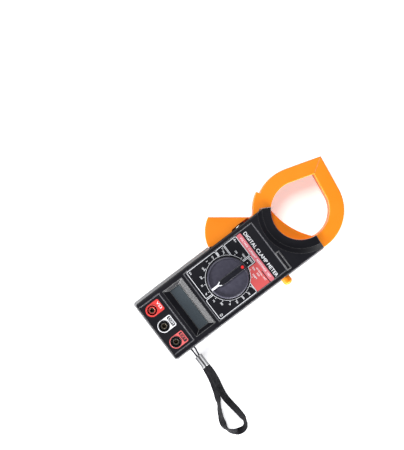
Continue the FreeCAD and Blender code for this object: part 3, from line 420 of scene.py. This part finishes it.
class Print:
    """Flat shapes of one ink at one height, gathered into one piece."""

    def __init__(self, name, material, level, body="case", slot="dial_print"):
        self.name, self.material, self.level, self.body, self.slot = name, material, level, body, slot
        self.points, self.faces = [], []

    def shape(self, outline):
        first = len(self.points)
        self.points += [(x, y, self.level) for x, y in outline]
        self.faces.append(tuple(range(first, len(self.points))))

    def line(self, path, width, keep=None):
        """A stroke in short steps; keep can drop the steps whose middle it refuses."""
        for (x0, y0), (x1, y1) in zip(path, path[1:]):
            length = math.hypot(x1 - x0, y1 - y0)
            steps = max(1, round(length / STROKE_STEP))
            side = ((y0 - y1) / length * width / 2, (x1 - x0) / length * width / 2)
            for step in range(steps):
                ends = [step / steps, (step + 1) / steps]
                middle = sum(ends) / 2
                if keep and not keep(x0 + (x1 - x0) * middle, y0 + (y1 - y0) * middle):
                    continue
                (ax, ay), (bx, by) = [(x0 + (x1 - x0) * end, y0 + (y1 - y0) * end) for end in ends]
                self.shape([(ax - side[0], ay - side[1]), (bx - side[0], by - side[1]),
                            (bx + side[0], by + side[1]), (ax + side[0], ay + side[1])])

    def disc(self, x, y, radius):
        self.shape(arc(x, y, radius, 0, 360, 20)[:-1])

    def text(self, words, x, y, height, width=None, turn=0, bold=0.0):
        """Capitals of a height, centred on a point and squeezed to a width if one is given."""
        curve = bpy.data.curves.new("lettering", "FONT")
        curve.body = words
        curve.align_x, curve.align_y = "CENTER", "CENTER"
        curve.size = height * SIZE_PER_CAPITAL
        curve.offset = bold
        curve.fill_mode = "FRONT"
        holder = bpy.data.objects.new("lettering", curve)
        scene.collection.objects.link(holder)
        mesh = mesh_of(holder)
        squeeze = FREE_SQUEEZE
        if width:
            reach = [vertex.co.x for vertex in mesh.vertices]
            squeeze = width / (max(reach) - min(reach))
        matrix = Matrix.Rotation(math.radians(turn), 3, "Z") @ Matrix.Diagonal((squeeze, 1, 1))
        first = len(self.points)
        for vertex in mesh.vertices:
            spot = matrix @ vertex.co
            self.points.append((x + spot.x, y + spot.y, self.level))
        for face in mesh.polygons:
            self.faces.append(tuple(first + corner for corner in face.vertices))
        bpy.data.objects.remove(holder)
        bpy.data.curves.remove(curve)
        bpy.data.meshes.remove(mesh)

    def finish(self):
        return piece(self.name, self.points, self.faces, self.material, self.body)


def arc(x, y, radius, first, last, steps=12):
    angles = [math.radians(first + (last - first) * step / steps) for step in range(steps + 1)]
    return [(x + radius * math.cos(angle), y + radius * math.sin(angle)) for angle in angles]


def rounded(left, right, low, high, radius):
    """A closed rounded rectangle."""
    corners = [(right - radius, high - radius, 0), (left + radius, high - radius, 90),
               (left + radius, low + radius, 180), (right - radius, low + radius, 270)]
    outline = []
    for x, y, start in corners:
        outline += arc(x, y, radius, start, start + 90, 5)
    return outline + outline[:1]


# ---- printed dial ----------------------------------------------------------------------------

def middle_of(node):
    low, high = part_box(node)
    return (low + high) / 2 / MM


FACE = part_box("dial_label")[1].z / MM
DIAL = middle_of("selector_knob")
KNOB_RADIUS = (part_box("selector_knob")[1].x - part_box("selector_knob")[0].x) / 2 / MM
RING = 21.9
RANGES = [(126, "200"), (108, "1000"), (72, "20M"), (54, "2000M"), (31, "20M"), (15, "2M"), (0, "200k"),
          (-16, "20k"), (-32, "2k"), (-50, "200"), (-68, "Hz"), (-90, "2k"), (-110, "20"), (-128, "200"),
          (-148, "1000"), (-165, "2"), (180, "20"), (167, "200"), (154, "750")]


def outside_ring(x, y):
    return math.hypot(x - DIAL.x, y - DIAL.y) > RING + 0.1


def dial_print(white, grey, band_red, panel_red):
    x, y = DIAL.x, DIAL.y
    left, right = (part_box("dial_label")[side].x / MM for side in (0, 1))
    low, high = (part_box("dial_label")[side].y / MM for side in (0, 1))
    frame_line = Print("dial_frame_line", grey, FACE + 0.02)
    frame_line.line(rounded(left + 0.3, right - 0.3, low + 0.3, high - 0.3, 0.6), 0.28)
    frame_line.finish()

    band = Print("dial_band", band_red, FACE + 0.02)
    band.shape(rounded(left + 1.3, right - 0.5, y + 30.4, y + 35.4, 1.2)[:-1])
    band.finish()
    panel = Print("dial_panel", panel_red, FACE + 0.03)
    start, end = math.degrees(math.acos(4.6 / RING)), math.degrees(math.asin(14.6 / RING))
    panel.shape([(x + 4.6, y + 31.2), *arc(x, y, RING, start, end, 14), (right - 0.7, y + 14.6),
                 (right - 0.7, y + 29.6), (x + 14.5, y + 29.6), (x + 14.5, y + 31.2)])
    panel.finish()

    title = Print("dial_title", white, FACE + 0.04)
    title.text("DIGITAL CLAMP METER", 0.9, y + 38.7, 3.5, 52.5, bold=0.035)
    title.text("VOLTAGE  CURRENT  RESISTANCE  TEST", 0.4, y + 32.9, 1.9, 48, bold=0.012)
    title.text("EXTERNAL UNIT", x + 16.5, y + 27.6, 1.6, 15, bold=0.01)
    title.text("500V", x + 15.3, y + 25.0, 1.7, bold=0.01)
    title.finish()

    boxes = Print("dial_boxes", white, FACE + 0.035)
    width = 0.5
    boxes.line(rounded(left + 1.2, x - 4.7, y + 15.9, y + 29.9, 1.2), width, outside_ring)
    boxes.line(rounded(x - 3.4, x + 3.6, y + 15, y + 29.9, 0.8), width, outside_ring)
    boxes.line(rounded(x + 4.8, right - 0.8, y - 30.1, y + 14.0, 1.4), width, outside_ring)
    boxes.line(rounded(left + 0.7, x + 3.5, y - 29.2, y + 4.8, 1.4), width, outside_ring)
    boxes.line(rounded(left + 0.7, x - 4.7, y + 5.9, y + 14.9, 1.0), width, outside_ring)
    boxes.line(arc(x, y, RING, 82, -262, 180), 0.32)
    boxes.finish()

    figures = Print("dial_figures", white, FACE + 0.045)
    for angle, words in RANGES:
        lean = math.radians(angle)
        figures.disc(x + 23.1 * math.cos(lean), y + 23.1 * math.sin(lean), 0.42)
        reach = min(26.2, 25.9 / max(0.01, abs(math.cos(lean))))
        spread = 0.85 * len(words) * abs(math.cos(lean)) * 0.55
        spot = (x + (reach - spread) * math.cos(lean), y + reach * math.sin(lean))
        figures.text(words, *spot, 1.75, bold=0.02)
    figures.text("OFF", x, y + 27.4, 1.9, 5.2, bold=0.03)
    figures.disc(x, y + 23.6, 0.45)
    figures.text("A~", left + 4.2, y + 27.0, 2.6, bold=0.03)
    figures.text("V~", left + 3.2, y + 12.6, 1.9, bold=0.02)
    figures.text("V=", left + 3.4, y - 26.6, 2.2, bold=0.03)
    figures.text("Ω", right - 3.6, y - 26.9, 2.6, bold=0.03)
    figures.finish()


def socket_print(white, grey, flag_red, flag_pink, black):
    left, right = (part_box("socket_label")[side].x / MM for side in (0, 1))
    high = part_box("socket_label")[1].y / MM
    edge = Print("socket_frame_line", grey, FACE + 0.02)
    start, end, top, foot = left + 0.3, right - 0.3, high - 0.3, high - 22
    edge.line([(start, foot), (start, top), (end, top), (end, foot)], 0.28)
    edge.finish()
    flags = [("socket_volt", flag_red, None, white, "VΩ"), ("socket_common", white, black, white, "COM"),
             ("socket_ext", flag_pink, black, flag_pink, "EXT")]
    for node, fill, plate, letters, words in flags:
        centre = middle_of(node)
        radius = (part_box(node)[1].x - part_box(node)[0].x) / 2 / MM + 0.12
        flag = Print(node + "_flag", fill, FACE + 0.03)
        half, top = 6.2, centre.y + 10.9
        ring = radius + 0.75
        for first, last in ((180, 270), (270, 360)):
            pairs = [arc_pairs(centre, size, first, last) for size in (ring, radius)]
            for outer, inner in zip(*pairs):
                flag.shape([outer[0], outer[1], inner[1], inner[0]])
        for side in (-1, 1):
            inner = arc(centre.x, centre.y, radius, 90, 90 - 90 * side, 10)
            edge_x = centre.x + side * half
            flag.shape([(centre.x, top), *inner, (edge_x, centre.y), (edge_x, top - 1),
                        (centre.x + side * (half - 1), top)])
        flag.finish()
        if plate:
            badge = Print(node + "_badge", plate, FACE + 0.04)
            badge.shape(rounded(centre.x - 5.2, centre.x + 5.2,
                                centre.y + 6.6, centre.y + 10.2, 0.7)[:-1])
            badge.finish()
        label = Print(node + "_words", letters, FACE + 0.05)
        label.text(words, centre.x, centre.y + 8.4, 2.5, 7.6, bold=0.03)
        label.finish()


def arc_pairs(centre, radius, first, last):
    points = arc(centre.x, centre.y, radius, first, last, 12)
    return list(zip(points, points[1:]))


# ---- knob marks ------------------------------------------------------------------------------

def knob_marks(white, red):
    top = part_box("selector_knob")[1].z / MM
    x, y = DIAL.x, DIAL.y
    dot = Print("knob_dot", red, top + 0.03, "selector", "knob_plastic")
    dot.disc(x, y + 17.2, 1.5)
    dot.finish()
    outline = [(-2.5, -8.7), (-1.02, -12.1), (-1.02, -19.3), (1.02, -19.3), (1.02, -12.1), (2.5, -8.7),
               (1.6, -8.7), (0, -11.6), (-1.6, -8.7)]
    count = len(outline)
    points = [(x + px, y + py, top + z) for z in (-0.7, 0.04) for px, py in outline]
    sides = [(i, (i + 1) % count, count + (i + 1) % count, count + i) for i in range(count)]
    ends = [tuple(range(count, 2 * count)), tuple(reversed(range(count)))]
    pointer = piece("knob_pointer", points, ends + sides, white, "selector")
    soft = pointer.modifiers.new("soft", "BEVEL")
    soft.width, soft.segments = 0.00012, 2


# ---- wrist strap -----------------------------------------------------------------------------

# The strap's own lines, in millimetres, as in the CAD source.
STRAP_OUT = [(54.0, -62.8), (64.5, -63.6), (74.5, -65.7), (84.5, -69.2), (94.0, -73.6), (103.0, -79.0),
             (112.0, -82.8), (119.5, -83.4), (125.6, -79.8)]
STRAP_BACK = [(54.0, -61.2), (64.0, -61.0), (74.0, -62.0), (84.0, -64.4), (94.0, -65.8), (104.0, -64.7),
              (114.0, -63.4), (123.5, -63.0), (129.3, -67.0), (129.6, -73.6)]
# How far the webbing is turned up on its edge at each point, in degrees, and its lift.
OUT_TURNS = [0, -6, -14, -30, -64, -46, -20, -66, -34]
BACK_TURNS = [0, 5, -8, 10, 4, 14, 26, 62, 52, 16]
WEB_WIDTH, WEB_THICK = 7.0, 1.15
GATHER_LENGTH = 9.0    # the band narrows over this length at the crimp


def smooth_line(name, points):
    """A NURBS spline through given control points, as a curve in metres."""
    curve = bpy.data.curves.new(name, "CURVE")
    curve.dimensions = "3D"
    curve.resolution_u = 14
    spline = curve.splines.new("NURBS")
    spline.points.add(len(points) - 1)
    for control, point in zip(spline.points, points):
        control.co = (*[part * MM for part in point], 1)
    spline.order_u = 3
    spline.use_endpoint_u = True
    return curve


def read_line(curve):
    """The points that a curve with no bevel passes through."""
    holder = bpy.data.objects.new("reading", curve)
    scene.collection.objects.link(holder)
    mesh = mesh_of(holder)
    points = [vertex.co.copy() for vertex in mesh.vertices]
    bpy.data.objects.remove(holder)
    bpy.data.meshes.remove(mesh)
    return points


def strap_cord():
    cord_y = -61.2
    crimp = middle_of("strap_crimp").y
    route = [(50.0, crimp - 1.1, 2.4), (44.0, crimp - 1.2, 2.7), (38.0, cord_y - 1.9, 5.4),
             (33.5, cord_y - 2.05, 7.0), (30.6, cord_y - 2.05, 7.0), (27.95, cord_y - 1.3, 7.0),
             (27.6, cord_y + 0.5, 7.0), (28.8, cord_y + 2.0, 7.0), (31.6, cord_y + 2.05, 7.0),
             (35.5, cord_y + 1.95, 6.2), (40.0, cord_y + 1.2, 4.4), (44.6, crimp + 1.15, 2.7),
             (50.0, crimp + 1.1, 2.4)]
    curve = smooth_line("strap_cord_twisted", route)
    curve.bevel_depth = 0.78 * MM
    curve.bevel_resolution = 4
    made = bpy.data.objects.new("strap_cord_twisted", curve)
    scene.collection.objects.link(made)
    graph = Graph("cord_braid")
    wave = graph.add("TexWave", wave_type="BANDS", bands_direction="DIAGONAL")
    wave.inputs["Scale"].default_value = 260
    wave.inputs["Distortion"].default_value = 1.5
    graph.link(graph.place(), wave.inputs["Vector"])
    graph.feed("Base Color", graph.blend(wave.outputs["Fac"], (0.006, 0.006, 0.008), (0.04, 0.04, 0.05)))
    graph.shader.inputs["Roughness"].default_value = 0.75
    graph.shader.inputs["Specular IOR Level"].default_value = 0.12
    graph.bump(wave.outputs["Fac"], 0.5, 0.0002)
    curve.materials.append(graph.material)
    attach(made, "case")
    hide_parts("strap_cord")


def webbing(material):
    """The woven loop: a ribbon swept along its line, turning on edge where it twists."""
    plan = STRAP_OUT + STRAP_BACK[::-1]
    turns = OUT_TURNS + BACK_TURNS[::-1]
    lifts = [1.9] + [0.75] * 2 + [0.7] * 12 + [1.6, 2.3, 2.5, 2.9]
    half, thick = WEB_WIDTH / 2, WEB_THICK / 2
    route = []
    for (x, y), turn, lift in zip(plan, turns, lifts):
        rise = half * abs(math.sin(math.radians(turn)))
        route.append((x, y, lift + rise))
    path = read_line(smooth_line("webbing_line", route))
    steps = len(path) - 1
    travelled = [0.0]
    for before, after in zip(path, path[1:]):
        travelled.append(travelled[-1] + (after - before).length / MM)
    total = travelled[-1]

    section = []
    for share in [step / 10 * 2 - 1 for step in range(11)]:
        section.append((share * half, thick * (1.0 if abs(share) < 0.85 else 0.8)))
    section = section + [(across, -up) for across, up in reversed(section)]
    count = len(section)
    verts, faces, coords = [], [], []
    for index, spot in enumerate(path):
        position = index / steps * (len(turns) - 1)
        whole = min(int(position), len(turns) - 2)
        ease = position - whole
        ease = ease * ease * (3 - 2 * ease)
        turn = math.radians(turns[whole] + (turns[whole + 1] - turns[whole]) * ease)
        heading = (path[min(index + 1, steps)] - path[max(index - 1, 0)]).normalized()
        side = heading.cross(Vector((0, 0, 1))).normalized()
        lift = side.cross(heading)
        across = side * math.cos(turn) + lift * math.sin(turn)
        up = lift * math.cos(turn) - side * math.sin(turn)
        from_end = min(travelled[index], total - travelled[index])
        gather = 0.8 + 0.2 * min(1.0, from_end / GATHER_LENGTH)
        ripple = 0.12 * math.sin(travelled[index] * 0.55) + 0.06 * math.sin(travelled[index] * 1.3 + 1)
        for share, height in section:
            wave = ripple * (share / half)
            verts.append(spot / MM + across * share * gather + up * (height + wave))
            coords.append((travelled[index], share))
    for index in range(steps):
        for corner in range(count):
            after = (corner + 1) % count
            faces.append((index * count + corner, index * count + after,
                          (index + 1) * count + after, (index + 1) * count + corner))
    faces.append(tuple(reversed(range(count))))
    faces.append(tuple(range(steps * count, (steps + 1) * count)))
    made = piece("webbing_loop", verts, faces, material, "case")
    uvs = made.data.uv_layers.new(name="along")
    for loop in made.data.loops:
        uvs.data[loop.index].uv = coords[loop.vertex_index]
    for face in made.data.polygons:
        face.use_smooth = True
    soft = made.modifiers.new("soft", "SUBSURF")
    soft.levels = soft.render_levels = 1
    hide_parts("strap_webbing")


# ---- the whole scene -------------------------------------------------------------------------

camera()
strap_cord()
webbing(woven())
studio()
dressed()
WHITE = ink("print_white", (0.86, 0.87, 0.9))
GREY = ink("print_grey", (0.2, 0.2, 0.23))
dial_print(WHITE, GREY, ink("print_band", (0.62, 0.14, 0.17)), ink("print_panel", (0.6, 0.08, 0.08)))
socket_print(WHITE, GREY, ink("print_red", (0.68, 0.035, 0.03)), ink("print_pink", (0.72, 0.12, 0.12)),
             ink("print_black", (0.012, 0.012, 0.016)))
knob_marks(WHITE, ink("dot_red", (0.75, 0.02, 0.02), 0.3))
